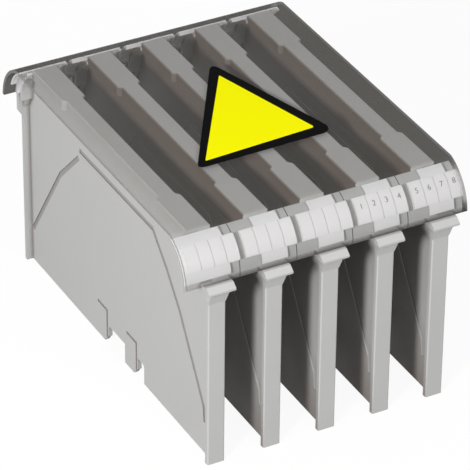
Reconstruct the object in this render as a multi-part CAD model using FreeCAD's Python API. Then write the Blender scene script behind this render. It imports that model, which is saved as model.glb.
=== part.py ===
import FreeCAD, Part
import math
import os

# Terminal block protective cover: five identical carriers stand side by side on a row of terminal
# blocks, and one smoked sheet with curved lips clips over their heads. Curved marker holders, each
# with a strip of four tags, sit on the front and rear heads behind the lips.
# Millimetres, +Z up. The origin is on the ground, at the middle of the row and of its depth.
# X runs along the row, the front faces -Y. The rear mirrors the front, except where a value says so.

# Row
carrier_count = 5
pitch = 22.5
carrier_depth = 151.6

# Web and edge flanges of a carrier
web_thickness = 1.6
flange_width = 6.8
flange_thickness = 2.0
flange_edge_chamfer = 0.4

# Cover sheet
cover_top = 92.8
cover_thickness = 1.2
cover_end_overhang = 7.8
lip_radius = 18.4
lip_start_angle = 20.0
lip_end_angle = 87.0
lip_bend_radius = 3.0
lip_inset = 0.9

# The heads and the markers stand a little to the right of the web
head_offset = 1.0

# Marker pieces, nested inside the lip
lip_clearance = 0.5
tag_thickness = 0.6
holder_thickness = 1.0
plate_thickness = 1.2
stack_clearance = 0.05
tag_pitch = 5.1
tag_gap = 0.35
tags_per_strip = 4
tag_link_thickness = 0.3
row_start_angle = 34.0
row_end_angle = 70.0
tab_width = 10.2
tab_offset = 1.1
tab_start_angle = 20.0
tab_end_angle = 84.0
tag_margin_angle = 1.5
end_wing_reach = 11.0

# Head plates that carry the markers
front_plate_gap = 0.3
rear_plate_width = 11.0
plate_start_angle = 17.0
plate_end_angle = 96.0

# Latch heads that the lips rest on
latch_width = 10.6
latch_seat_gap = 0.2
latch_nose_reach = 2.2
latch_nose_drop = 1.7
latch_nose_height = 0.8
latch_neck_width = 7.5
latch_neck_reach = 0.9
latch_neck_drop = 7.2
latch_back_reach = 4.6
rear_shoulder_width = 10.2
rear_shoulder_drop = 8.7
rear_shoulder_taper = 2.7

# Beam along the top of a carrier
beam_height = 10.6
beam_end_width = 9.6
beam_end_height = 4.0
beam_front_inset = 14.6
beam_front_step = 36.6
beam_rear_step = 39.0
beam_step_run = 1.4
beam_edge_chamfer = 0.4

# Tent shaped groove in both faces of the web
groove_depth = 0.45
tent_groove_width = 2.0
tent_level = 72.4
tent_front_shoulder = 47.5
tent_front_bend = 36.5
tent_front_bend_height = 61.6
tent_front_waist = 26.5
tent_front_waist_height = 49.6
tent_front_knee = 8.0
tent_front_knee_height = 19.9
tent_front_foot = 7.2
tent_front_foot_height = 13.3
tent_rear_shoulder = 45.0
tent_rear_top = 44.1
tent_rear_top_height = 68.7
tent_rear_bend = 28.0
tent_rear_bend_height = 52.5
tent_rear_foot = 3.0
tent_rear_foot_height = 14.5

# Foot notch with its spring tongue and the grooves that free the two legs
notch_front = 54.9
notch_length = 29.2
notch_height = 8.3
notch_corner = 1.0
tongue_front_gap = 5.2
tongue_length = 10.5
leg_bevel_length = 3.1
leg_bevel_height = 3.5
leg_groove_width = 1.2
leg_groove_height = 14.6
leg_groove_length = 9.0
leg_groove_inset = 1.1

half_depth = carrier_depth / 2
web_half = web_thickness / 2
cover_under = cover_top - cover_thickness
beam_top = cover_under - stack_clearance
row_half = pitch * (carrier_count - 1) / 2
cover_half_width = row_half + flange_width / 2 + cover_end_overhang

# The lip arcs and the curved marker pieces share one centre line, given here for the front.
lip_outer_y = -half_depth + lip_inset
lip_centre_y = lip_outer_y + lip_radius
lip_rise = (lip_radius - lip_bend_radius) * math.cos(math.radians(lip_start_angle))
lip_centre_z = cover_top - lip_bend_radius - lip_rise
lip_inner_radius = lip_radius - cover_thickness
tag_outer_radius = lip_inner_radius - lip_clearance
tag_inner_radius = tag_outer_radius - tag_thickness
holder_outer_radius = tag_inner_radius - stack_clearance
holder_inner_radius = holder_outer_radius - holder_thickness
plate_outer_radius = holder_inner_radius - stack_clearance
plate_inner_radius = plate_outer_radius - plate_thickness
lip_end_z = lip_centre_z + lip_inner_radius * math.cos(math.radians(lip_end_angle))
latch_top = lip_end_z - latch_seat_gap
row_half_width = tags_per_strip * tag_pitch / 2


def arc_point(radius, angle):
    """Point (y, z) on a front arc; the angle starts at the top and opens towards the front."""
    turn = math.radians(angle)
    return lip_centre_y - radius * math.sin(turn), lip_centre_z + radius * math.cos(turn)


def vector(x, yz):
    return FreeCAD.Vector(x, yz[0], yz[1])


def arc_edge(x, radius, angle_from, angle_to):
    middle = (angle_from + angle_to) / 2
    start = vector(x, arc_point(radius, angle_from))
    through = vector(x, arc_point(radius, middle))
    end = vector(x, arc_point(radius, angle_to))
    return Part.Arc(start, through, end).toShape()


def line_edge(x, start, end):
    return Part.LineSegment(vector(x, start), vector(x, end)).toShape()


def extrude_edges(edges, length):
    face = Part.Face(Part.Wire(edges))
    return face.extrude(FreeCAD.Vector(length, 0, 0))


def side_prism(points, x_low, x_high):
    """Prism along X over a polygon of (y, z) points."""
    corners = [vector(x_low, point) for point in points]
    face = Part.Face(Part.makePolygon(corners + [corners[0]]))
    return face.extrude(FreeCAD.Vector(x_high - x_low, 0, 0))


def front_prism(points, y_low, y_high):
    """Prism along Y over a polygon of (x, z) points."""
    corners = [FreeCAD.Vector(x, y_low, z) for x, z in points]
    face = Part.Face(Part.makePolygon(corners + [corners[0]]))
    return face.extrude(FreeCAD.Vector(0, y_high - y_low, 0))


def plan_prism(points, z_low, z_high):
    """Prism along Z over a polygon of (x, y) points."""
    corners = [FreeCAD.Vector(x, y, z_low) for x, y in points]
    face = Part.Face(Part.makePolygon(corners + [corners[0]]))
    return face.extrude(FreeCAD.Vector(0, 0, z_high - z_low))


def block(x_low, x_high, y_low, y_high, z_low, z_high):
    corner = FreeCAD.Vector(x_low, y_low, z_low)
    return Part.makeBox(x_high - x_low, y_high - y_low, z_high - z_low, corner)


def arc_band(inner, outer, angle_from, angle_to, x_low, x_high):
    """Piece of a tube wall along X on the front arc centre."""
    edges = [
        arc_edge(x_low, inner, angle_from, angle_to),
        line_edge(x_low, arc_point(inner, angle_to), arc_point(outer, angle_to)),
        arc_edge(x_low, outer, angle_to, angle_from),
        line_edge(x_low, arc_point(outer, angle_from), arc_point(inner, angle_from)),
    ]
    return extrude_edges(edges, x_high - x_low)


def to_rear(shape):
    return shape.mirror(FreeCAD.Vector(0, 0, 0), FreeCAD.Vector(0, 1, 0))


def from_front(distance, height):
    """Point (y, z) at a distance behind the front face of a carrier."""
    return -half_depth + distance, height


def from_rear(distance, height):
    return half_depth - distance, height


def run_normal(start, end):
    """Unit (y, z) vector square to a straight run."""
    run_y = end[0] - start[0]
    run_z = end[1] - start[1]
    run = math.hypot(run_y, run_z)
    return -run_z / run, run_y / run


def groove(points, width, x_low, x_high):
    """Groove cutter along a line of (y, z) points, with mitred bends and square ends."""
    normals = [run_normal(start, end) for start, end in zip(points, points[1:])]
    left = []
    right = []
    for point, before, after in zip(points, normals[:1] + normals, normals + normals[-1:]):
        mitre = width / 2 / (1 + before[0] * after[0] + before[1] * after[1])
        side_y = (before[0] + after[0]) * mitre
        side_z = (before[1] + after[1]) * mitre
        left.append((point[0] + side_y, point[1] + side_z))
        right.append((point[0] - side_y, point[1] - side_z))
    return side_prism(left + right[::-1], x_low, x_high)


def groove_lines():
    """Centre lines of the web grooves, each with its width."""
    notch_rear = notch_front + notch_length
    tongue_front = notch_front + tongue_front_gap
    tent_front = [
        from_front(tent_front_foot, tent_front_foot_height),
        from_front(tent_front_knee, tent_front_knee_height),
        from_front(tent_front_waist, tent_front_waist_height),
        from_front(tent_front_bend, tent_front_bend_height),
        from_front(tent_front_shoulder, tent_level),
        from_rear(tent_rear_shoulder, tent_level),
    ]
    tent_rear = [
        from_rear(tent_rear_top, tent_rear_top_height),
        from_rear(tent_rear_bend, tent_rear_bend_height),
        from_rear(tent_rear_foot, tent_rear_foot_height),
    ]
    lines = [(tent_front, tent_groove_width), (tent_rear, tent_groove_width)]
    for leg_front in (tongue_front, notch_rear):
        leg = [
            from_front(leg_front + leg_groove_inset, leg_groove_width),
            from_front(leg_front + leg_groove_inset, leg_groove_height),
            from_front(leg_front + leg_groove_length, leg_groove_height),
        ]
        lines.append((leg, leg_groove_width))
    return lines


def make_web():
    """Upright plate between the flanges, with an arched front and rear edge under the head plates."""
    edge_radius = (plate_inner_radius + plate_outer_radius) / 2
    inner_y = half_depth - flange_thickness
    shoulder_z = latch_top - latch_neck_drop
    low = arc_point(edge_radius, plate_end_angle)
    high = arc_point(edge_radius, plate_start_angle)
    half = [
        line_edge(-web_half, (0, 0), (-inner_y, 0)),
        line_edge(-web_half, (-inner_y, 0), (-inner_y, shoulder_z)),
        line_edge(-web_half, (-inner_y, shoulder_z), low),
        arc_edge(-web_half, edge_radius, plate_end_angle, plate_start_angle),
        line_edge(-web_half, high, (0, high[1])),
        line_edge(-web_half, (0, high[1]), (0, 0)),
    ]
    front_half = extrude_edges(half, web_thickness)
    web = front_half.fuse(to_rear(front_half)).removeSplitter()
    for points, width in groove_lines():
        web = web.cut(groove(points, width, -web_half, -web_half + groove_depth))
        web = web.cut(groove(points, width, web_half - groove_depth, web_half))
    return web.cut(notch_cutter())


def notch_cutter():
    """Foot notch without the tongue that hangs in it."""
    rear = notch_front + notch_length
    tongue_front = notch_front + tongue_front_gap
    tongue_rear = tongue_front + tongue_length
    below = -notch_corner
    notch_points = [
        from_front(notch_front, below),
        from_front(rear + leg_bevel_length, below),
        from_front(rear + leg_bevel_length, 0),
        from_front(rear, leg_bevel_height),
        from_front(rear, notch_height - notch_corner),
        from_front(rear - notch_corner, notch_height),
        from_front(notch_front + notch_corner, notch_height),
        from_front(notch_front, notch_height - notch_corner),
    ]
    tongue_points = [
        from_front(tongue_front, notch_height),
        from_front(tongue_front, leg_bevel_height),
        from_front(tongue_front + leg_bevel_length, 0),
        from_front(tongue_rear, 0),
        from_front(tongue_rear, notch_height),
    ]
    notch = side_prism(notch_points, -web_thickness, web_thickness)
    tongue = side_prism(tongue_points, -web_thickness, web_thickness)
    return notch.cut(tongue)


def make_flange():
    """Front edge strip, with its two outer edges broken."""
    half_width = flange_width / 2
    front_y = -half_depth
    back_y = front_y + flange_thickness
    outline = [
        (-half_width, back_y),
        (-half_width, front_y + flange_edge_chamfer),
        (-half_width + flange_edge_chamfer, front_y),
        (half_width - flange_edge_chamfer, front_y),
        (half_width, front_y + flange_edge_chamfer),
        (half_width, back_y),
    ]
    return plan_prism(outline, 0, latch_top - latch_neck_drop + flange_edge_chamfer)


def make_latch_head():
    """Front latch head: a nose bar with a sloping top, on a neck that tapers down to the flange."""
    nose_z = latch_top - latch_nose_drop
    bar_z = nose_z - latch_nose_height
    neck_z = latch_top - latch_neck_drop
    bar_profile = [
        from_front(0, latch_top),
        from_front(-latch_nose_reach, nose_z),
        from_front(-latch_nose_reach, bar_z),
        from_front(latch_back_reach, bar_z),
        from_front(latch_back_reach, latch_top),
    ]
    bar = side_prism(bar_profile, head_offset - latch_width / 2, head_offset + latch_width / 2)
    neck_profile = [
        from_front(-latch_neck_reach, bar_z),
        from_front(0, neck_z),
        from_front(flange_thickness, neck_z),
        from_front(latch_back_reach, bar_z),
    ]
    neck_outline = [
        (head_offset - latch_neck_width / 2, bar_z),
        (-flange_width / 2, neck_z),
        (flange_width / 2, neck_z),
        (head_offset + latch_neck_width / 2, bar_z),
    ]
    neck = side_prism(neck_profile, -latch_width, latch_width)
    envelope = front_prism(neck_outline, -half_depth - latch_neck_reach, -half_depth + latch_back_reach)
    return bar.fuse(neck.common(envelope))


def make_rear_shoulder():
    """Wider shoulder below the rear latch head."""
    low = latch_top - rear_shoulder_drop
    half_width = rear_shoulder_width / 2
    outline = [
        (-half_width, latch_top),
        (-half_width, low),
        (-flange_width / 2, low - rear_shoulder_taper),
        (flange_width / 2, low - rear_shoulder_taper),
        (half_width, low),
        (half_width, latch_top),
    ]
    return front_prism(outline, half_depth - flange_thickness, half_depth)


def make_beam():
    """Solid beam along the top, wider in plan at both ends with slanted steps."""
    narrow = flange_width / 2
    wide = beam_end_width / 2
    front = -half_depth + beam_front_inset
    rear = half_depth - beam_front_inset
    front_step = -half_depth + beam_front_step
    rear_step = half_depth - beam_rear_step
    core = block(-narrow, narrow, front, rear, beam_top - beam_height, beam_top)
    right_side = [
        (wide, front),
        (wide, front_step),
        (narrow, front_step + beam_step_run),
        (narrow, rear_step - beam_step_run),
        (wide, rear_step),
        (wide, rear),
    ]
    left_side = [(-x, y) for x, y in reversed(right_side)]
    cap = plan_prism(right_side + left_side, beam_top - beam_end_height, beam_top)
    beam = core.fuse(cap).removeSplitter()
    top_edges = [edge for edge in beam.Edges if is_long_top_edge(edge)]
    return beam.makeChamfer(beam_edge_chamfer, top_edges)


def is_long_top_edge(edge):
    """True for the edges along both sides of the beam's top face."""
    box = edge.BoundBox
    return box.ZMin > beam_top - beam_edge_chamfer and box.YLength > beam_edge_chamfer


def make_head_plate(width):
    """Curved plate behind the markers of one end."""
    inner, outer = plate_inner_radius, plate_outer_radius
    return arc_band(inner, outer, plate_start_angle, plate_end_angle, -width / 2, width / 2)


def make_carrier():
    latch = make_latch_head()
    flange = make_flange()
    pieces = [
        flange,
        to_rear(flange),
        latch,
        to_rear(latch),
        make_rear_shoulder(),
        make_beam(),
        make_head_plate(pitch - front_plate_gap),
        to_rear(make_head_plate(rear_plate_width)),
    ]
    return make_web().multiFuse(pieces).removeSplitter()


def make_holder(with_end_wing):
    """Cross shaped marker holder: a wide row between two tabs, and a full wing at the row's end."""
    inner, outer = holder_inner_radius, holder_outer_radius
    row_left = head_offset - row_half_width
    row_right = head_offset + row_half_width
    row = arc_band(inner, outer, row_start_angle, row_end_angle, row_left, row_right)
    tab_middle = head_offset + tab_offset
    tab_left = -end_wing_reach if with_end_wing else tab_middle - tab_width / 2
    tabs = arc_band(inner, outer, tab_start_angle, tab_end_angle, tab_left, tab_middle + tab_width / 2)
    return row.fuse(tabs).removeSplitter()


def make_tag_strip():
    """Four tags in a row, joined by a thin link behind them."""
    start = row_start_angle + tag_margin_angle
    end = row_end_angle - tag_margin_angle
    left = head_offset - row_half_width + tag_gap / 2
    right = head_offset + row_half_width - tag_gap / 2
    tag_width = tag_pitch - tag_gap
    link_radius = tag_inner_radius + tag_link_thickness
    strip = arc_band(tag_inner_radius, link_radius, start, end, left, right)
    for index in range(tags_per_strip):
        tag_left = left + index * tag_pitch
        tag = arc_band(tag_inner_radius, tag_outer_radius, start, end, tag_left, tag_left + tag_width)
        strip = strip.fuse(tag)
    return strip.removeSplitter()


def make_cover():
    """One sheet: flat top, small bends, then long curved lips at the front and rear."""
    bend = math.radians(lip_start_angle)
    bend_y = lip_centre_y - (lip_radius - lip_bend_radius) * math.sin(bend)
    bend_z = cover_top - lip_bend_radius
    x = -cover_half_width

    def bend_edge(radius):
        half = bend / 2
        start = FreeCAD.Vector(x, bend_y, bend_z + radius)
        through = FreeCAD.Vector(x, bend_y - radius * math.sin(half), bend_z + radius * math.cos(half))
        end = FreeCAD.Vector(x, bend_y - radius * math.sin(bend), bend_z + radius * math.cos(bend))
        return Part.Arc(start, through, end).toShape()

    edges = [
        line_edge(x, (0, cover_top), (bend_y, cover_top)),
        bend_edge(lip_bend_radius),
        arc_edge(x, lip_radius, lip_start_angle, lip_end_angle),
        line_edge(x, arc_point(lip_radius, lip_end_angle), arc_point(lip_inner_radius, lip_end_angle)),
        arc_edge(x, lip_inner_radius, lip_end_angle, lip_start_angle),
        bend_edge(lip_bend_radius - cover_thickness),
        line_edge(x, (bend_y, cover_under), (0, cover_under)),
        line_edge(x, (0, cover_under), (0, cover_top)),
    ]
    front_half = extrude_edges(edges, 2 * cover_half_width)
    return front_half.fuse(to_rear(front_half)).removeSplitter()


def export(shape, name):
    solid = shape.Solids[0]
    assert len(shape.Solids) == 1 and solid.isValid(), name
    solid.exportStep("parts/" + name + ".step")


def export_row(shape, name, end_shape=None):
    """One copy for each carrier, at its place in the row; the first may differ."""
    for index in range(carrier_count):
        piece = end_shape if end_shape is not None and index == 0 else shape
        place = FreeCAD.Vector(index * pitch - row_half, 0, 0)
        export(piece.translated(place), name + "_" + str(index + 1))


def main():
    os.makedirs("parts", exist_ok=True)
    holder = make_holder(False)
    end_holder = make_holder(True)
    tag_strip = make_tag_strip()
    export_row(make_carrier(), "carrier")
    export_row(holder, "marker_holder_front", end_holder)
    export_row(to_rear(holder), "marker_holder_rear", to_rear(end_holder))
    export_row(tag_strip, "tag_strip_front")
    export_row(to_rear(tag_strip), "tag_strip_rear")
    export(make_cover(), "cover")


main()
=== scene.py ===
import math

import bmesh
import bpy
from mathutils import Matrix, Vector


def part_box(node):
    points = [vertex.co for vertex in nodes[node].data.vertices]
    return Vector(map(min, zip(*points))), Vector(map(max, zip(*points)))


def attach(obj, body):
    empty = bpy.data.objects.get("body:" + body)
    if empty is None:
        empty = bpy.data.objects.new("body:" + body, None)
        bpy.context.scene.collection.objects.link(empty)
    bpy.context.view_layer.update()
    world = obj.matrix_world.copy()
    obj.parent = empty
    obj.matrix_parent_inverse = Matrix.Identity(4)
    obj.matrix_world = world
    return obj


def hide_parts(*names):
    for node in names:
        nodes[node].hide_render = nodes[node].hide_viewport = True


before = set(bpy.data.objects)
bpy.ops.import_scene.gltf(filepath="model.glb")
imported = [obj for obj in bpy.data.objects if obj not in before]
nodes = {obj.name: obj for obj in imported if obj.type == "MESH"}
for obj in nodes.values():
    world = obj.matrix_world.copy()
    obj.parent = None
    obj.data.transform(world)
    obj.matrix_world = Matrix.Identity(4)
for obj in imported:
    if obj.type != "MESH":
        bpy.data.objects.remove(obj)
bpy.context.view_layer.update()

MM = 0.001
carriers = [nodes[name] for name in sorted(nodes) if name.startswith("carrier")]
holders = [nodes[name] for name in sorted(nodes) if name.startswith("marker_holder")]
tag_strips = [nodes[name] for name in sorted(nodes) if name.startswith("tag_strip")]
cover = nodes["cover"]

# The cover: its flat top, its sawn ends and the two feet of its lips.
COVER_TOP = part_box("cover")[1].z
COVER_HALF_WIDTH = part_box("cover")[1].x
COVER_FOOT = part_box("cover")[0].z
# The curve that the front lip, the head plates, the holders and the tags share, as in the part's source.
LIP_RADIUS = 18.4 * MM
LIP_CENTRE_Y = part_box("cover")[0].y + LIP_RADIUS
LIP_CENTRE_Z = COVER_TOP - 17.47 * MM
TAG_RADIUS = 16.7 * MM
HEAD_PLATE_RADIUS = 14.4 * MM
# The row: carriers from -45 to 45 mm, and four tags to a strip.
CARRIER_PITCH = 22.5 * MM
ROW_HALF = 45 * MM
TAG_PITCH = 5.1 * MM
TAGS_PER_STRIP = 4


def linear(hex_colour):
    """An sRGB hex value as linear colour with alpha."""
    shares = [int(hex_colour[i : i + 2], 16) / 255 for i in (1, 3, 5)]
    return [s / 12.92 if s <= 0.04045 else ((s + 0.055) / 1.055) ** 2.4 for s in shares] + [1.0]


def new_material(name):
    material = bpy.data.materials.new(name)
    material.use_nodes = True
    material.node_tree.nodes.clear()
    return material, material.node_tree


def node(tree, kind, inputs=None, out=0, **settings):
    """Adds one node with its settings and links, and gives its output socket named or numbered out.
    An input, by name or number, gets a value or another node's socket. By number, a Mix takes its
    share at 0 and its colours at 6 and 7, and a Map Range its value at 0, the range that it comes
    from at 1 and 2, and the range that it goes to at 3 and 4."""
    made = tree.nodes.new(kind)
    for key, value in settings.items():
        setattr(made, key, value)
    for key, value in (inputs or {}).items():
        if isinstance(value, bpy.types.NodeSocket):
            tree.links.new(value, made.inputs[key])
        else:
            made.inputs[key].default_value = value
    return made.outputs[out] if made.outputs else None


# A face looks along an axis where that part of its normal is longer than this.
FACES_ALONG = 0.9


def per_mm(size):
    """Noise scale for spots of this many millimetres."""
    return 1 / (size * MM)


# Where painted shade sits on a carrier, and the share of the plastic that it covers.
GROOVE_FLOOR = 0.6 * MM
BAY_REACH = 30 * MM
DEEPEST_PAINTED_SHADE = 0.88
PAINTED_SHADE_IN_GROOVE = 0.62
CREVICE_REACH = 2 * MM
CREVICE_PAINTED_SHADE = 0.5
OUTER_GROOVE_PAINTED_SHADE = 0.42
SHOULDER_FOOT = COVER_TOP - 12 * MM
SHOULDER_PAINTED_SHADE = 0.75
# The band in which a head plate's curve lies, and how much painted shade, a cooler grey, it takes.
PLATE_BAND = 0.75 * MM
PLATE_SHADE = 0.32
FIRST_WING_END = 5 * MM - ROW_HALF


# Light grey polyamide, injection moulded in a spark eroded mould: an even matt grey with a fine dull
# grain and faint flow clouds. The grain is drawn coarser than the real 0.05 mm, so that it shows.
# Painted shade, a brown grey, darkens the faces that look at each other across a bay, most of it deep
# inside. The moulded grooves get less of it there, and a little painted shade darkens the outer faces'
# crevices.
def moulded_polyamide():
    material, tree = new_material("light_grey_moulded_polyamide")
    place = node(tree, "ShaderNodeTexCoord", out="Object")
    normal = node(tree, "ShaderNodeTexCoord", out="Normal")
    clouds = node(tree, "ShaderNodeTexNoise", {"Vector": place, "Scale": per_mm(24), "Detail": 2.0})
    grain = node(tree, "ShaderNodeTexNoise", {"Vector": place, "Scale": per_mm(0.7), "Detail": 2.0})
    shades = {0: clouds, 6: linear("#b8b8b7"), 7: linear("#c1c1c0")}
    base = node(tree, "ShaderNodeMix", shades, out=2, data_type="RGBA")
    speck = node(tree, "ShaderNodeMath", {0: grain, 1: 0.1}, operation="MULTIPLY")
    specked = {0: speck, 6: base, 7: linear("#a2a2a1")}
    unshaded_grey = node(tree, "ShaderNodeMix", specked, out=2, data_type="RGBA")
    sideways = node(tree, "ShaderNodeSeparateXYZ", {0: normal}, out="X")
    sideways = node(tree, "ShaderNodeMath", {0: sideways}, operation="ABSOLUTE")
    across = node(tree, "ShaderNodeSeparateXYZ", {0: place}, out="X")
    # The floor of a groove is nearer to the middle of its web than the web's face is.
    one_pitch = {0: across, 1: CARRIER_PITCH / 2, 2: -CARRIER_PITCH / 2}
    from_web = node(tree, "ShaderNodeMath", one_pitch, operation="WRAP")
    from_web = node(tree, "ShaderNodeMath", {0: from_web}, operation="ABSOLUTE")
    groove = node(tree, "ShaderNodeMath", {0: from_web, 1: GROOVE_FLOOR}, operation="LESS_THAN")
    # Bays: from the first carrier's inner face to the last one's.
    from_middle = node(tree, "ShaderNodeMath", {0: across}, operation="ABSOLUTE")
    in_bay = node(tree, "ShaderNodeMath", {0: from_middle, 1: ROW_HALF}, operation="LESS_THAN")
    # Painted shade: the less open sky a face has between the carriers, the darker it is painted.
    sky = node(tree, "ShaderNodeAmbientOcclusion", {"Distance": BAY_REACH}, out="AO", samples=16)
    bay_painted_shade = node(tree, "ShaderNodeMapRange", {0: sky, 1: 0.66, 2: 0.18, 3: 0.0, 4: DEEPEST_PAINTED_SHADE})
    # In the bays the groove floors get less painted shade, so that they read as lit lines.
    groove_less_shade = node(tree, "ShaderNodeMapRange", {0: groove, 3: 1.0, 4: PAINTED_SHADE_IN_GROOVE})
    for share in (in_bay, groove_less_shade, sideways):
        bay_painted_shade = node(tree, "ShaderNodeMath", {0: bay_painted_shade, 1: share}, operation="MULTIPLY")
    # The outer faces have no bay in front of them: their painted shade, in crevices and groove floors,
    # comes only from what is close by on the carrier itself.
    near = {"Distance": CREVICE_REACH}
    open_near = node(tree, "ShaderNodeAmbientOcclusion", near, out="AO", samples=8, only_local=True)
    crevice = node(tree, "ShaderNodeMapRange", {0: open_near, 1: 0.92, 2: 0.6, 3: 0.0, 4: CREVICE_PAINTED_SHADE})
    groove_floor = node(tree, "ShaderNodeMath", {0: groove, 1: sideways}, operation="MULTIPLY")
    groove_floor = node(tree, "ShaderNodeMath", {0: groove_floor, 1: OUTER_GROOVE_PAINTED_SHADE}, operation="MULTIPLY")
    crevice = node(tree, "ShaderNodeMath", {0: crevice, 1: groove_floor}, operation="MAXIMUM")
    not_in_bay = {0: crevice, 1: in_bay}
    outer_painted_shade = node(tree, "ShaderNodeMath", not_in_bay, operation="SUBTRACT", use_clamp=True)
    painted_shade = node(tree, "ShaderNodeMath", {0: bay_painted_shade, 1: outer_painted_shade}, operation="MAXIMUM")
    # Painted shade also darkens the slanted shoulders where the beams under the sheet change width.
    lengthwise = node(tree, "ShaderNodeSeparateXYZ", {0: normal}, out="Y")
    lengthwise = node(tree, "ShaderNodeMath", {0: lengthwise}, operation="ABSOLUTE")
    shoulder = node(tree, "ShaderNodeMath", {0: lengthwise, 1: 0.6, 2: 0.35}, operation="COMPARE")
    upright = node(tree, "ShaderNodeSeparateXYZ", {0: normal}, out="Z")
    upright = node(tree, "ShaderNodeMath", {0: upright, 1: 0.0, 2: 0.05}, operation="COMPARE")
    high_up = node(tree, "ShaderNodeSeparateXYZ", {0: place}, out="Z")
    high_up = node(tree, "ShaderNodeMath", {0: high_up, 1: SHOULDER_FOOT}, operation="GREATER_THAN")
    for share in (upright, high_up, in_bay, SHOULDER_PAINTED_SHADE):
        shoulder = node(tree, "ShaderNodeMath", {0: shoulder, 1: share}, operation="MULTIPLY")
    painted_shade = node(tree, "ShaderNodeMath", {0: painted_shade, 1: shoulder}, operation="MAXIMUM")
    # The painted shade's colour, a brown grey.
    under_painted_shade = {0: painted_shade, 6: unshaded_grey, 7: linear("#523f31")}
    with_painted_shade = node(tree, "ShaderNodeMix", under_painted_shade, out=2, data_type="RGBA")
    # The front head plates get painted shade, a cooler, darker grey, where they show between the
    # markers, but not under the first one's wing.
    behind = node(tree, "ShaderNodeSeparateXYZ", {0: place}, out="Y")
    behind = node(tree, "ShaderNodeMath", {0: behind, 1: LIP_CENTRE_Y}, operation="SUBTRACT")
    above = node(tree, "ShaderNodeSeparateXYZ", {0: place}, out="Z")
    above = node(tree, "ShaderNodeMath", {0: above, 1: LIP_CENTRE_Z}, operation="SUBTRACT")
    radius = node(tree, "ShaderNodeCombineXYZ", {1: behind, 2: above})
    radius = node(tree, "ShaderNodeVectorMath", {0: radius}, out="Value", operation="LENGTH")
    plate_curve = {0: radius, 1: HEAD_PLATE_RADIUS, 2: PLATE_BAND}
    plate = node(tree, "ShaderNodeMath", plate_curve, operation="COMPARE")
    curved = node(tree, "ShaderNodeMapRange", {0: sideways, 3: PLATE_SHADE, 4: 0.0})
    past_wing = node(tree, "ShaderNodeMath", {0: across, 1: FIRST_WING_END}, operation="GREATER_THAN")
    for share in (curved, past_wing):
        plate = node(tree, "ShaderNodeMath", {0: plate, 1: share}, operation="MULTIPLY")
    shaded = {0: plate, 6: with_painted_shade, 7: linear("#858b90")}
    colour = node(tree, "ShaderNodeMix", shaded, out=2, data_type="RGBA")
    bump = node(tree, "ShaderNodeBump", {"Height": grain, "Strength": 0.12, "Distance": 0.1 * MM})
    rough = node(tree, "ShaderNodeMapRange", {0: clouds, 1: 0.3, 2: 0.7, 3: 0.50, 4: 0.60})
    matt = {"Base Color": colour, "Roughness": rough, "IOR": 1.53, "Specular IOR Level": 0.3}
    plastic = node(tree, "ShaderNodeBsdfPrincipled", {**matt, "Normal": bump})
    node(tree, "ShaderNodeOutputMaterial", {"Surface": plastic})
    return material


# White polyamide, injection moulded in a polished mould: smoother than the carriers, with a soft sheen.
# Its end faces, which look along the row, get a darker painted shade.
def white_polyamide(name, colour_hex, shade_hex, end_shade_hex):
    material, tree = new_material(name)
    place = node(tree, "ShaderNodeTexCoord", out="Object")
    normal = node(tree, "ShaderNodeTexCoord", out="Normal")
    clouds = node(tree, "ShaderNodeTexNoise", {"Vector": place, "Scale": per_mm(8), "Detail": 2.0})
    grain = node(tree, "ShaderNodeTexNoise", {"Vector": place, "Scale": per_mm(0.45), "Detail": 1.0})
    shades = {0: clouds, 6: linear(shade_hex), 7: linear(colour_hex)}
    colour = node(tree, "ShaderNodeMix", shades, out=2, data_type="RGBA")
    sideways = node(tree, "ShaderNodeSeparateXYZ", {0: normal}, out="X")
    sideways = node(tree, "ShaderNodeMath", {0: sideways}, operation="ABSOLUTE")
    # Painted shade: the end faces, which look along the row, are given a darker colour.
    shaded_end = node(tree, "ShaderNodeMath", {0: sideways, 1: FACES_ALONG}, operation="GREATER_THAN")
    end_shade_mix = {0: shaded_end, 6: colour, 7: linear(end_shade_hex)}
    colour = node(tree, "ShaderNodeMix", end_shade_mix, out=2, data_type="RGBA")
    bump = node(tree, "ShaderNodeBump", {"Height": grain, "Strength": 0.06, "Distance": 0.1 * MM})
    satin = {"Base Color": colour, "Roughness": 0.45, "IOR": 1.53, "Specular IOR Level": 0.35}
    plastic = node(tree, "ShaderNodeBsdfPrincipled", {**satin, "Normal": bump})
    node(tree, "ShaderNodeOutputMaterial", {"Surface": plastic})
    return material


# Where the sheet is dark or has its fringe of painted light, and how much of its skin shows there.
LIP_FEET_BELOW = 80 * MM
RIM_FIRST_SHARE = 0.04
RIM_SHARE = 0.36
LIT_FRINGE_WIDTH = 2 * MM
LIT_FRINGE_FILM = 0.52
EDGE_FILM = 0.35
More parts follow.
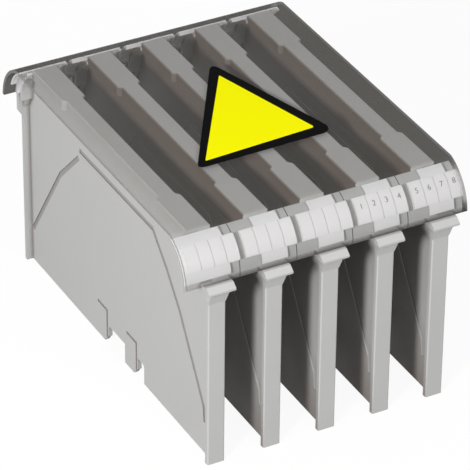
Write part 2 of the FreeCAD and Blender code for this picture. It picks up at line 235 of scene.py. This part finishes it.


# Lightly smoked clear polycarbonate, extruded and sawn to length: nearly clear where it is looked
# through, a brown grey where it is looked along, with a thin glossy haze. The lips' feet are dark, and
# the saw has left the ends light. Near the last end the lips get a fringe of painted light, lighter and
# less clear.
def smoked_polycarbonate():
    material, tree = new_material("smoked_extruded_polycarbonate")
    place = node(tree, "ShaderNodeTexCoord", out="Object")
    normal = node(tree, "ShaderNodeTexCoord", out="Normal")
    slant = node(tree, "ShaderNodeLayerWeight", {"Blend": 0.5}, out="Facing")
    along = node(tree, "ShaderNodeMath", {0: slant, 1: 3.0}, operation="POWER")
    clear_to_smoked = {0: along, 6: linear("#fbfbfb"), 7: linear("#8a8784")}
    tint = node(tree, "ShaderNodeMix", clear_to_smoked, out=2, data_type="RGBA")
    height = node(tree, "ShaderNodeSeparateXYZ", {0: place}, out="Z")
    up_lip = node(tree, "ShaderNodeMapRange", {0: height, 1: 78 * MM, 2: 81 * MM})
    across = node(tree, "ShaderNodeSeparateXYZ", {0: normal}, out="X")
    across = node(tree, "ShaderNodeMath", {0: across}, operation="ABSOLUTE")
    sawn_end = node(tree, "ShaderNodeMath", {0: across, 1: FACES_ALONG}, operation="GREATER_THAN")
    upward = node(tree, "ShaderNodeSeparateXYZ", {0: normal}, out="Z")
    down = node(tree, "ShaderNodeMath", {0: upward, 1: -FACES_ALONG}, operation="LESS_THAN")
    low = node(tree, "ShaderNodeMath", {0: height, 1: LIP_FEET_BELOW}, operation="LESS_THAN")
    lip_foot = node(tree, "ShaderNodeMath", {0: down, 1: low}, operation="MULTIPLY")
    span = node(tree, "ShaderNodeSeparateXYZ", {0: place}, out="X")
    # The dark of the feet shows through the last millimetre of the lips, least at the first marker.
    past_first = {0: span, 1: -ROW_HALF - 6 * MM, 2: 9 * MM - ROW_HALF, 3: RIM_FIRST_SHARE, 4: RIM_SHARE}
    rim_share = node(tree, "ShaderNodeMapRange", past_first)
    to_foot = {0: height, 1: COVER_FOOT + 1.3 * MM, 2: COVER_FOOT + 0.6 * MM, 4: rim_share}
    lip_rim = node(tree, "ShaderNodeMapRange", to_foot)
    edge = node(tree, "ShaderNodeMath", {0: sawn_end, 1: lip_foot}, operation="MAXIMUM")
    edge = node(tree, "ShaderNodeMath", {0: edge, 1: lip_rim}, operation="MAXIMUM")
    foot_to_end = {0: sawn_end, 6: linear("#4c4946"), 7: linear("#b6b4b2")}
    cut = node(tree, "ShaderNodeMix", foot_to_end, out=2, data_type="RGBA")
    seen = node(tree, "ShaderNodeMix", {0: edge, 6: tint, 7: cut}, out=2, data_type="RGBA")
    see_through = node(tree, "ShaderNodeBsdfTransparent", {"Color": seen})
    fringe_start = COVER_HALF_WIDTH - LIT_FRINGE_WIDTH
    # Painted light: a fringe near the last end of the lips is lighter and less clear.
    lit_fringe = node(tree, "ShaderNodeMapRange", {0: span, 1: fringe_start, 2: fringe_start + 1 * MM})
    on_lip = node(tree, "ShaderNodeMapRange", {0: height, 1: COVER_TOP - 1 * MM, 2: COVER_TOP - 4 * MM})
    for share in (on_lip, up_lip):
        lit_fringe = node(tree, "ShaderNodeMath", {0: lit_fringe, 1: share}, operation="MULTIPLY")
    haze_to_lit_fringe = {0: lit_fringe, 6: linear("#96918c"), 7: linear("#b4b4b4")}
    body = node(tree, "ShaderNodeMix", haze_to_lit_fringe, out=2, data_type="RGBA")
    body = node(tree, "ShaderNodeMix", {0: edge, 6: body, 7: cut}, out=2, data_type="RGBA")
    haze = node(tree, "ShaderNodeTexNoise", {"Vector": place, "Scale": per_mm(16), "Detail": 3.0})
    rough = node(tree, "ShaderNodeMapRange", {0: haze, 1: 0.3, 2: 0.7, 3: 0.10, 4: 0.18})
    skin = node(tree, "ShaderNodeBsdfPrincipled", {"Base Color": body, "Roughness": rough, "IOR": 1.585})
    # The skin shows as the haze, more of it where the sheet is looked along or sawn, and in the fringe
    # of painted light.
    film = node(tree, "ShaderNodeMapRange", {0: along, 3: 0.08, 4: 0.23})
    for place_of_film, share in ((lit_fringe, LIT_FRINGE_FILM), (edge, EDGE_FILM)):
        thicker = node(tree, "ShaderNodeMath", {0: place_of_film, 1: share}, operation="MULTIPLY")
        film = node(tree, "ShaderNodeMath", {0: film, 1: thicker}, operation="MAXIMUM")
    surface = node(tree, "ShaderNodeMixShader", {0: film, 1: see_through, 2: skin})
    # Light reaches the carriers under the thin sheet almost undimmed.
    shadow_ray = node(tree, "ShaderNodeLightPath", out="Is Shadow Ray")
    lamp_through = node(tree, "ShaderNodeBsdfTransparent", {"Color": linear("#fbfbfa")})
    whole = node(tree, "ShaderNodeMixShader", {0: shadow_ray, 1: surface, 2: lamp_through})
    node(tree, "ShaderNodeOutputMaterial", {"Surface": whole})
    return material


# Printed vinyl film, cut to shape: an even satin colour with a very slight orange peel.
def vinyl_film(name, colour_hex, roughness, specular):
    material, tree = new_material(name)
    place = node(tree, "ShaderNodeTexCoord", out="Object")
    peel = node(tree, "ShaderNodeTexNoise", {"Vector": place, "Scale": per_mm(2), "Detail": 2.0})
    bump = node(tree, "ShaderNodeBump", {"Height": peel, "Strength": 0.05, "Distance": 0.1 * MM})
    finish = {"Base Color": linear(colour_hex), "Roughness": roughness, "Specular IOR Level": specular}
    film = node(tree, "ShaderNodeBsdfPrincipled", {**finish, "Normal": bump})
    node(tree, "ShaderNodeOutputMaterial", {"Surface": film})
    return material


def dress(objects, material):
    for piece in objects:
        piece.data.materials.clear()
        piece.data.materials.append(material)


# The last colour of each is the painted shade on its end faces.
holder_white = white_polyamide("white_moulded_polyamide", "#e0e0e2", "#dadadc", "#a9a9a8")
tag_white = white_polyamide("white_polished_polyamide", "#e6e5e8", "#e0dfe2", "#d8d8d9")
dress(carriers, moulded_polyamide())
dress(holders, holder_white)
dress(tag_strips, tag_white)
dress([cover], smoked_polycarbonate())


def add_piece(bm, name, material):
    """Makes a bmesh that is already in place a piece of the object, and gives it."""
    bmesh.ops.recalc_face_normals(bm, faces=bm.faces)
    mesh = bpy.data.meshes.new(name)
    bm.to_mesh(mesh)
    bm.free()
    mesh.materials.append(material)
    piece = bpy.data.objects.new(name, mesh)
    bpy.context.scene.collection.objects.link(piece)
    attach(piece, "root")
    return piece


# The first rear holder's wing stops short of the sheet's end, which the photograph shows and the
# node doesn't: a merged copy of the node is cut there and stands for it.
WING_END = -52 * MM
SHARP_EDGE = math.radians(30)
first_rear_holder = nodes["marker_holder_rear_1"]
holder_bm = bmesh.new()
holder_bm.from_mesh(first_rear_holder.data)
bmesh.ops.remove_doubles(holder_bm, verts=holder_bm.verts, dist=0.001 * MM)
uncut = holder_bm.verts[:] + holder_bm.edges[:] + holder_bm.faces[:]
bmesh.ops.bisect_plane(
    holder_bm, geom=uncut, plane_co=(WING_END, 0, 0), plane_no=(-1, 0, 0), clear_outer=True
)
rim = [edge for edge in holder_bm.edges if edge.is_boundary]
bmesh.ops.holes_fill(holder_bm, edges=rim)
short_holder = add_piece(holder_bm, "short_rear_marker_holder", first_rear_holder.data.materials[0])
short_holder.data.shade_smooth()
short_holder.data.set_sharp_from_angle(angle=SHARP_EDGE)
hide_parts("marker_holder_rear_1")


# Triangular plate stuck on the sheet, left blank: a black film, and a yellow one laid on it. Each
# corner is given in millimetres with the length that its rounding takes off the edges.
BLACK_CORNERS = [((10.0, 34.0), 4.6), ((-28.6, -29.3), 3.4), ((28.1, -28.4), 5.6)]
YELLOW_CORNERS = [((8.7, 24.6), 0.8), ((-23.5, -25.9), 0.8), ((22.2, -23.4), 1.0)]
FILM_THICKNESS = 0.1


def triangle_film(name, corners, layer, material):
    bm = bmesh.new()
    outline = [bm.verts.new((x, y, layer * FILM_THICKNESS)) for (x, y), _ in corners]
    bm.faces.new(outline)
    for corner, (_, cut) in zip(outline, corners):
        bmesh.ops.bevel(
            bm, geom=[corner], offset=cut, segments=6, profile=0.5, affect="VERTICES", material=-1
        )
    lifted = bmesh.ops.extrude_face_region(bm, geom=bm.faces[:], use_keep_orig=True)
    top = [part for part in lifted["geom"] if isinstance(part, bmesh.types.BMVert)]
    bmesh.ops.translate(bm, verts=top, vec=(0, 0, FILM_THICKNESS))
    on_sheet = Matrix.Translation((0, 0, COVER_TOP)) @ Matrix.Scale(MM, 4)
    bmesh.ops.transform(bm, verts=bm.verts, matrix=on_sheet)
    add_piece(bm, name, material)


black_vinyl = vinyl_film("black_vinyl_film", "#020202", 0.5, 0.02)
triangle_film("black_triangle_film", BLACK_CORNERS, 0, black_vinyl)
yellow_vinyl = vinyl_film("yellow_vinyl_film", "#fffb00", 0.6, 0.03)
triangle_film("yellow_triangle_film", YELLOW_CORNERS, 1, yellow_vinyl)

# Plain numbers printed on the tags of the last two front strips.
NUMBER_SIZE = 2.9 * MM
NUMBER_ANGLE = math.radians(48)
NUMBER_CUTS = range(-3, 4)
CUT_SPACING = NUMBER_SIZE / 9
INK_THICKNESS = 0.06 * MM


def print_numbers(name, strip, first_number, ink):
    strip_low, strip_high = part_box(strip)
    strip_middle = (strip_low.x + strip_high.x) / 2
    bm = bmesh.new()
    for tag in range(TAGS_PER_STRIP):
        figure = bpy.data.curves.new(name, "FONT")
        figure.body = str(first_number + tag)
        figure.size = NUMBER_SIZE
        figure.extrude = INK_THICKNESS
        figure.align_x = "CENTER"
        figure.align_y = "CENTER"
        text = bpy.data.objects.new(name, figure)
        bpy.context.scene.collection.objects.link(text)
        depsgraph = bpy.context.evaluated_depsgraph_get()
        flat = bpy.data.meshes.new_from_object(text.evaluated_get(depsgraph))
        from_strip_middle = (tag - (TAGS_PER_STRIP - 1) / 2) * TAG_PITCH
        flat.transform(Matrix.Translation((from_strip_middle, 0, 0)))
        bm.from_mesh(flat)
        bpy.data.objects.remove(text)
        bpy.data.meshes.remove(flat)
    bmesh.ops.remove_doubles(bm, verts=bm.verts, dist=0.002 * MM)
    # Cut across at a few heights, then bent round the curve of the tags.
    for cut in NUMBER_CUTS:
        whole = bm.verts[:] + bm.edges[:] + bm.faces[:]
        bmesh.ops.bisect_plane(bm, geom=whole, plane_co=(0, cut * CUT_SPACING, 0), plane_no=(0, 1, 0))
    for vert in bm.verts:
        angle = NUMBER_ANGLE - vert.co.y / TAG_RADIUS
        radius = TAG_RADIUS + vert.co.z
        vert.co = (
            strip_middle + vert.co.x,
            LIP_CENTRE_Y - radius * math.sin(angle),
            LIP_CENTRE_Z + radius * math.cos(angle),
        )
    add_piece(bm, name, ink)


grey_ink = vinyl_film("grey_printing_ink", "#828282", 0.5, 0.2)
print_numbers("numbers_1_to_4", "tag_strip_front_4", 1, grey_ink)
print_numbers("numbers_5_to_8", "tag_strip_front_5", 5, grey_ink)


# The background is white for the camera's own rays and in reflections. What shows through the smoked
# sheet is the floor's own darker grey, as in the photograph, whose white was cut out round the sheet.
def background_share(tree):
    """1 for the rays that show the white background."""
    camera_ray = node(tree, "ShaderNodeLightPath", out="Is Camera Ray")
    sheets = node(tree, "ShaderNodeLightPath", out="Transparent Depth")
    before_sheet = node(tree, "ShaderNodeMath", {0: sheets, 1: 0.5}, operation="LESS_THAN")
    straight = node(tree, "ShaderNodeMath", {0: camera_ray, 1: before_sheet}, operation="MULTIPLY")
    mirrored = node(tree, "ShaderNodeLightPath", out="Is Glossy Ray")
    refracted = node(tree, "ShaderNodeLightPath", out="Is Transmission Ray")
    bent = node(tree, "ShaderNodeMath", {0: mirrored, 1: refracted}, operation="MAXIMUM")
    return node(tree, "ShaderNodeMath", {0: straight, 1: bent}, operation="MAXIMUM")


FLOOR_GLOW = 0.93
FLOOR_HALF = 4.0
WORLD_LIGHT = 0.45


def studio_floor():
    material, tree = new_material("pale_floor")
    paper = node(tree, "ShaderNodeBsdfDiffuse", {"Color": linear("#ffffff")})
    glow = node(tree, "ShaderNodeEmission", {"Color": linear("#ffffff"), "Strength": 1.0})
    pale = node(tree, "ShaderNodeMixShader", {0: FLOOR_GLOW, 1: paper, 2: glow})
    grey = node(tree, "ShaderNodeBsdfDiffuse", {"Color": linear("#6b6966")})
    whole = node(tree, "ShaderNodeMixShader", {0: background_share(tree), 1: grey, 2: pale})
    node(tree, "ShaderNodeOutputMaterial", {"Surface": whole})
    return material


floor_bm = bmesh.new()
bmesh.ops.create_grid(floor_bm, x_segments=1, y_segments=1, size=FLOOR_HALF)
floor_mesh = bpy.data.meshes.new("floor")
floor_bm.to_mesh(floor_mesh)
floor_bm.free()
floor_mesh.materials.append(studio_floor())
floor = bpy.data.objects.new("floor", floor_mesh)
bpy.context.scene.collection.objects.link(floor)

world = bpy.data.worlds.new("studio")
world.use_nodes = True
bpy.context.scene.world = world
sky = world.node_tree
sky.nodes.clear()
sky_strength = node(sky, "ShaderNodeMapRange", {0: background_share(sky), 3: WORLD_LIGHT, 4: 1.0})
background = node(sky, "ShaderNodeBackground", {"Color": linear("#ffffff"), "Strength": sky_strength})
node(sky, "ShaderNodeOutputWorld", {"Surface": background})

LAMP_AIM = Vector((0, 0, 50 * MM))
LAMP_DISTANCE = 1.3


def softbox(name, direction, size, power):
    lamp = bpy.data.lights.new(name, "AREA")
    lamp.shape = "DISK"
    lamp.size = size
    lamp.energy = power
    box = bpy.data.objects.new(name, lamp)
    outward = Vector(direction).normalized()
    box.location = LAMP_AIM + outward * LAMP_DISTANCE
    box.rotation_mode = "QUATERNION"
    box.rotation_quaternion = (-outward).to_track_quat("-Z", "Y")
    bpy.context.scene.collection.objects.link(box)


# The left softbox stands far to the side, so that it reaches only a little way in between the carriers.
softbox("left_softbox", direction=(-0.735, -0.53, 0.42), size=0.22, power=14.6)
softbox("front_softbox", direction=(0.1, -0.85, 0.5), size=0.7, power=4.0)

# Camera at the photograph's place, found from the part's own edges in the photograph.
CAMERA_PLACE = Vector((-529.24, -982.86, 766.29)) * MM
CAMERA_AZIMUTH = math.radians(-28.426)
CAMERA_ELEVATION = math.radians(33.064)
CAMERA_ROLL = math.radians(0.586)
CAMERA_LENS = 275.27

camera_data = bpy.data.cameras.new("camera")
camera_data.lens = CAMERA_LENS
camera_data.sensor_width = 36.0
camera_data.clip_start = 0.05
camera_data.clip_end = 20.0
camera = bpy.data.objects.new("camera", camera_data)
level_right = Vector((math.cos(CAMERA_AZIMUTH), math.sin(CAMERA_AZIMUTH), 0))
back = Vector(
    (
        math.sin(CAMERA_AZIMUTH) * math.cos(CAMERA_ELEVATION),
        -math.cos(CAMERA_AZIMUTH) * math.cos(CAMERA_ELEVATION),
        math.sin(CAMERA_ELEVATION),
    )
)
level_up = back.cross(level_right)
right = level_right * math.cos(CAMERA_ROLL) + level_up * math.sin(CAMERA_ROLL)
up = level_up * math.cos(CAMERA_ROLL) - level_right * math.sin(CAMERA_ROLL)
turn = Matrix((right, up, back)).transposed()
camera.matrix_world = Matrix.Translation(CAMERA_PLACE) @ turn.to_4x4()
bpy.context.scene.collection.objects.link(camera)
bpy.context.scene.camera = camera
bpy.context.scene.view_settings.view_transform = "Standard"
